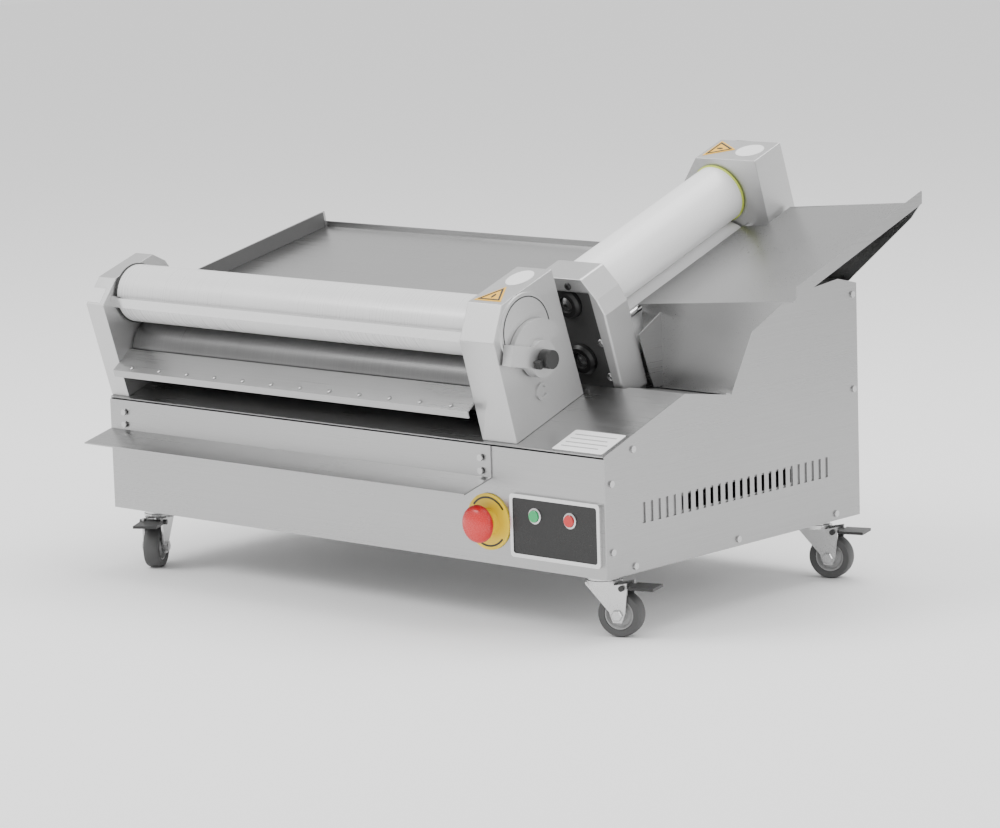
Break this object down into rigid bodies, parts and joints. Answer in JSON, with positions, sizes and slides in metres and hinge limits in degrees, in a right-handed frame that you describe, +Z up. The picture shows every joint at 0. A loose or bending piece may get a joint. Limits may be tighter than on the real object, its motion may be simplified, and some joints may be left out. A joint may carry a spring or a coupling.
{
  "type": "dough sheeter",
  "caption": "Countertop dough sheeter on casters: a long roller unit, a crosswise short roller unit, sloping trays, adjusting levers and a push-button panel.",
  "frame": {"origin": "middle of the bounding box at floor level, where the tyres stand", "axes": "+X to the right side with the infeed tray, +Y to the rear, +Z up; dough leaves towards -Y"},
  "size_m": [0.8388, 0.5026, 0.4753],
  "materials": {
    "black_face": "gloss membrane",
    "tyre_rubber": "matt rubber",
    "grey_hub": "moulded",
    "black_plastic": "moulded",
    "roller_white": "turned food grade plastic",
    "turned_steel": "ground",
    "cast_aluminium": "fine cast, clear coated",
    "red_plastic": "moulded",
    "yellow_plate": "printed disc",
    "green_button": "moulded",
    "red_button": "moulded",
    "painted_steel": "painted",
    "belt_rubber": "ribbed belt",
    "pulley_metal": "turned",
    "zinc_steel": "zinc plated",
    "stainless": "brushed sheet"
  },
  "bodies": {
    "root": {"cable_gland": "black_plastic", "caster_plates": "zinc_steel", "chassis": "stainless", "control_plate": "black_face", "deck_plate": "stainless", "drive_belts": "belt_rubber", "estop_plate": "yellow_plate", "front_drive_housing": "cast_aluminium", "front_idle_housing": "cast_aluminium", "front_panel": "stainless", "gearmotors": "painted_steel", "guard_rods": "turned_steel", "guide_plates": "stainless", "infeed_tray": "stainless", "left_side_panel": "stainless", "outfeed_flap": "stainless", "panel_screws": "zinc_steel", "rear_cover": "stainless", "right_side_panel": "stainless", "scraper_bars": "stainless", "side_drive_housing": "cast_aluminium", "side_idle_housing": "cast_aluminium", "slide_tray": "stainless", "unit_frame": "painted_steel"},
    "front_lower": {"front_lower_roller": "roller_white", "front_lower_shaft": "turned_steel"},
    "front_carriage": {"front_carriages": "turned_steel"},
    "front_upper": {"front_upper_roller": "roller_white", "front_upper_shaft": "turned_steel"},
    "front_lever": {"front_lever": "cast_aluminium"},
    "front_knob": {"front_lock_knob": "black_plastic"},
    "front_motor_pulley": {"front_motor_pulley": "pulley_metal"},
    "side_lower": {"side_lower_roller": "roller_white", "side_lower_shaft": "turned_steel"},
    "side_carriage": {"side_carriages": "turned_steel"},
    "side_upper": {"side_upper_roller": "roller_white", "side_upper_shaft": "turned_steel"},
    "side_lever": {"side_lever": "cast_aluminium"},
    "side_knob": {"side_lock_knob": "black_plastic"},
    "side_motor_pulley": {"side_motor_pulley": "pulley_metal"},
    "start": {"start_button": "green_button"},
    "stop": {"stop_button": "red_button"},
    "estop": {"estop_stem": "turned_steel"},
    "estop_cap": {"estop_head": "red_plastic"},
    "front_left_swivel": {"front_left_fork": "zinc_steel"},
    "front_left_wheel": {"front_left_hub": "grey_hub", "front_left_tyre": "tyre_rubber"},
    "front_left_brake": {"front_left_pedal": "black_plastic"},
    "front_right_swivel": {"front_right_fork": "zinc_steel"},
    "front_right_wheel": {"front_right_hub": "grey_hub", "front_right_tyre": "tyre_rubber"},
    "front_right_brake": {"front_right_pedal": "black_plastic"},
    "rear_left_swivel": {"rear_left_fork": "zinc_steel"},
    "rear_left_wheel": {"rear_left_hub": "grey_hub", "rear_left_tyre": "tyre_rubber"},
    "rear_left_brake": {"rear_left_pedal": "black_plastic"},
    "rear_right_swivel": {"rear_right_fork": "zinc_steel"},
    "rear_right_wheel": {"rear_right_hub": "grey_hub", "rear_right_tyre": "tyre_rubber"},
    "rear_right_brake": {"rear_right_pedal": "black_plastic"}
  },
  "joints": [
    {"name": "front_lower_spin", "type": "hinge", "parent": "root", "child": "front_lower", "pos_m": [-0.1181, -0.16298, 0.25177], "axis": [1, 0, 0], "continuous": true},
    {"name": "front_lever_turn", "type": "hinge", "parent": "root", "child": "front_lever", "pos_m": [-0.1181, -0.17386, 0.28398], "axis": [-1, 0, 0], "range_deg": [0, 90]},
    {"name": "front_gap_slide", "type": "slide", "parent": "root", "child": "front_carriage", "axis": [0, -0.3338, 0.9426], "range_m": [0, 0.003], "stiffness_N_per_m": 325.9, "springref_m": 0.1015},
    {"name": "front_upper_spin", "type": "hinge", "parent": "front_carriage", "child": "front_upper", "pos_m": [-0.1181, -0.18501, 0.31398], "axis": [1, 0, 0], "continuous": true},
    {"name": "front_knob_pull", "type": "slide", "parent": "front_lever", "child": "front_knob", "axis": [1, 0, 0], "range_m": [0, 0.004], "stiffness_N_per_m": 1500},
    {"name": "front_motor_spin", "type": "hinge", "parent": "root", "child": "front_motor_pulley", "pos_m": [-0.1181, -0.13027, 0.15939], "axis": [1, 0, 0], "continuous": true},
    {"name": "side_lower_spin", "type": "hinge", "parent": "root", "child": "side_lower", "pos_m": [0.1779, 0.0727, 0.31719], "axis": [0, -0.9426, -0.3338], "continuous": true},
    {"name": "side_lever_turn", "type": "hinge", "parent": "root", "child": "side_lever", "pos_m": [0.1784, 0.06135, 0.34924], "axis": [0, 0.9426, 0.3338], "range_deg": [0, 90]},
    {"name": "side_gap_slide", "type": "slide", "parent": "root", "child": "side_carriage", "axis": [0, -0.3338, 0.9426], "range_m": [0, 0.003], "stiffness_N_per_m": 167.9, "springref_m": 0.1015},
    {"name": "side_upper_spin", "type": "hinge", "parent": "side_carriage", "child": "side_upper", "pos_m": [0.1779, 0.05067, 0.3794], "axis": [0, -0.9426, -0.3338], "continuous": true},
    {"name": "side_knob_pull", "type": "slide", "parent": "side_lever", "child": "side_knob", "axis": [0, 0.9426, 0.3338], "range_m": [0, 0.004], "stiffness_N_per_m": 1500},
    {"name": "side_motor_spin", "type": "hinge", "parent": "root", "child": "side_motor_pulley", "pos_m": [0.1779, 0.10541, 0.22481], "axis": [0, -0.9426, -0.3338], "continuous": true},
    {"name": "start_press", "type": "slide", "parent": "root", "child": "start", "axis": [0, 1, 0], "range_m": [0, 0.003], "stiffness_N_per_m": 800},
    {"name": "stop_press", "type": "slide", "parent": "root", "child": "stop", "axis": [0, 1, 0], "range_m": [0, 0.003], "stiffness_N_per_m": 800},
    {"name": "estop_press", "type": "slide", "parent": "root", "child": "estop", "axis": [0, 1, 0], "range_m": [0, 0.004], "stiffness_N_per_m": 1500},
    {"name": "estop_twist", "type": "hinge", "parent": "estop", "child": "estop_cap", "pos_m": [0.1627, -0.22733, 0.1124], "axis": [0, -1, 0], "range_deg": [0, 45], "stiffness_Nm_per_rad": 0.5},
    {"name": "front_left_swivel_turn", "type": "hinge", "parent": "root", "child": "front_left_swivel", "pos_m": [-0.3816, -0.17133, 0.058], "axis": [0, 0, 1], "continuous": true},
    {"name": "front_left_wheel_spin", "type": "hinge", "parent": "front_left_swivel", "child": "front_left_wheel", "pos_m": [-0.3716, -0.18865, 0.024], "axis": [0.866, 0.5, 0], "continuous": true},
    {"name": "front_left_brake_press", "type": "hinge", "parent": "front_left_swivel", "child": "front_left_brake", "pos_m": [-0.3686, -0.19384, 0.053], "axis": [0.866, 0.5, 0], "range_deg": [0, 12], "stiffness_Nm_per_rad": 1},
    {"name": "front_right_swivel_turn", "type": "hinge", "parent": "root", "child": "front_right_swivel", "pos_m": [0.2864, -0.17133, 0.058], "axis": [0, 0, 1], "continuous": true},
    {"name": "front_right_wheel_spin", "type": "hinge", "parent": "front_right_swivel", "child": "front_right_wheel", "pos_m": [0.30542, -0.16515, 0.024], "axis": [-0.309, 0.9511, 0], "continuous": true},
    {"name": "front_right_brake_press", "type": "hinge", "parent": "front_right_swivel", "child": "front_right_brake", "pos_m": [0.31113, -0.16329, 0.053], "axis": [-0.309, 0.9511, 0], "range_deg": [0, 12], "stiffness_Nm_per_rad": 1},
    {"name": "rear_left_swivel_turn", "type": "hinge", "parent": "root", "child": "rear_left_swivel", "pos_m": [-0.3816, 0.18467, 0.058], "axis": [0, 0, 1], "continuous": true},
    {"name": "rear_left_wheel_spin", "type": "hinge", "parent": "rear_left_swivel", "child": "rear_left_wheel", "pos_m": [-0.36258, 0.19085, 0.024], "axis": [-0.309, 0.9511, 0], "continuous": true},
    {"name": "rear_left_brake_press", "type": "hinge", "parent": "rear_left_swivel", "child": "rear_left_brake", "pos_m": [-0.35687, 0.19271, 0.053], "axis": [-0.309, 0.9511, 0], "range_deg": [0, 12], "stiffness_Nm_per_rad": 1},
    {"name": "rear_right_swivel_turn", "type": "hinge", "parent": "root", "child": "rear_right_swivel", "pos_m": [0.2864, 0.18467, 0.058], "axis": [0, 0, 1], "continuous": true},
    {"name": "rear_right_wheel_spin", "type": "hinge", "parent": "rear_right_swivel", "child": "rear_right_wheel", "pos_m": [0.30542, 0.19085, 0.024], "axis": [-0.309, 0.9511, 0], "continuous": true},
    {"name": "rear_right_brake_press", "type": "hinge", "parent": "rear_right_swivel", "child": "rear_right_brake", "pos_m": [0.31113, 0.19271, 0.053], "axis": [-0.309, 0.9511, 0], "range_deg": [0, 12], "stiffness_Nm_per_rad": 1}
  ],
  "couplings": [
    {"joint": "front_upper_spin", "follows": "front_lower_spin", "ratio": -1},
    {"joint": "front_motor_spin", "follows": "front_lower_spin", "ratio": 1},
    {"joint": "front_lever_turn", "follows": "front_gap_slide", "rad_per_m": 523.08},
    {"joint": "side_upper_spin", "follows": "side_lower_spin", "ratio": -1},
    {"joint": "side_motor_spin", "follows": "side_lower_spin", "ratio": 1},
    {"joint": "side_lever_turn", "follows": "side_gap_slide", "rad_per_m": 523.08}
  ]
}
